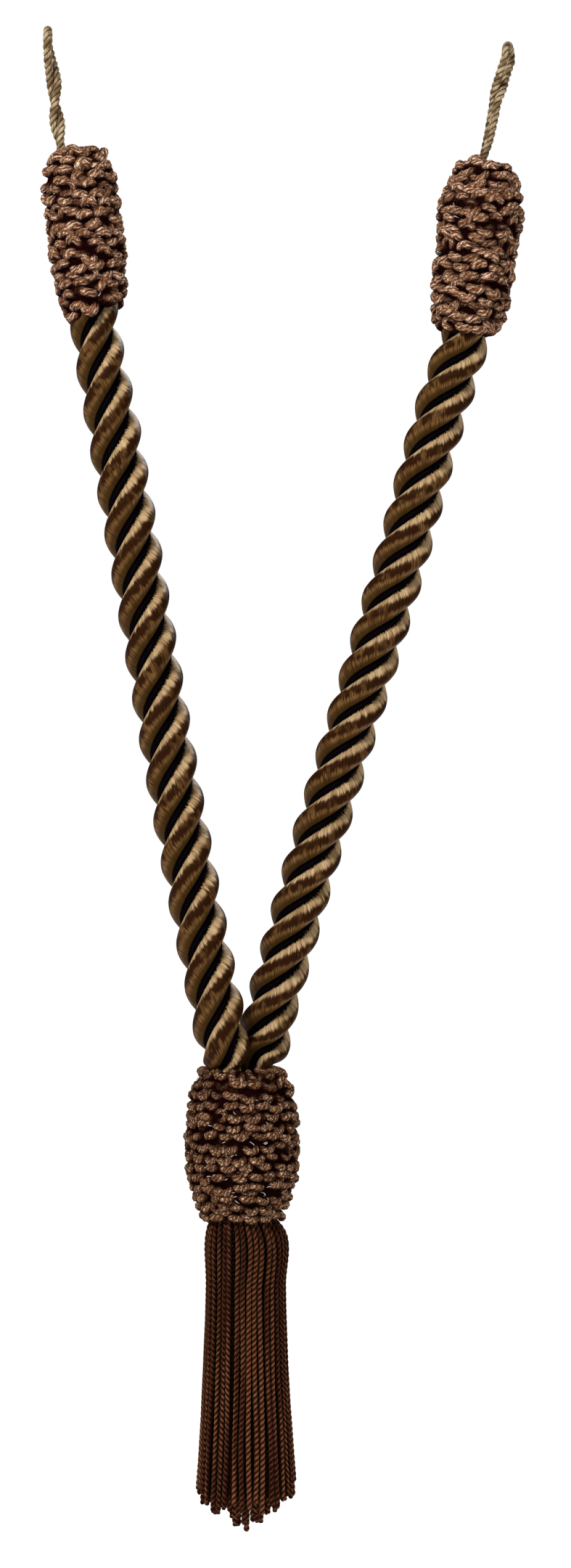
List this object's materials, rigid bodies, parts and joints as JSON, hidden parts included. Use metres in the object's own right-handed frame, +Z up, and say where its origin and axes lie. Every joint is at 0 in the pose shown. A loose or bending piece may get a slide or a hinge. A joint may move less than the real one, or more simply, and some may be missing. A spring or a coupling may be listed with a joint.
{
  "type": "curtain tieback tassel",
  "caption": "Curtain tieback: thick laid rope arms with knotted sleeves and thin hanging loops meet in a knotted barrel head over a skirt of fine twisted cords.",
  "frame": {"origin": "the point where the left-hand hanging loop bears on its hook, at the top inside of its eye", "axes": "+Z up, +X to the right along the row of hooks, +Y to the back; the front faces -Y"},
  "size_m": [0.2399, 0.0588, 0.7433],
  "materials": {
    "gold_rope": "satin yarn, laid",
    "tan_cord": "matt twisted cord",
    "brown_gimp": "matt looped gimp",
    "brown_skirt": "matt twisted cords"
  },
  "bodies": {
    "root": {"rope_left": "gold_rope", "rope_right": "gold_rope", "sleeve_left": "brown_gimp", "sleeve_right": "brown_gimp", "loop_left": "tan_cord", "loop_right": "tan_cord", "head": "brown_gimp", "skirt": "brown_skirt"}
  },
  "joints": []
}
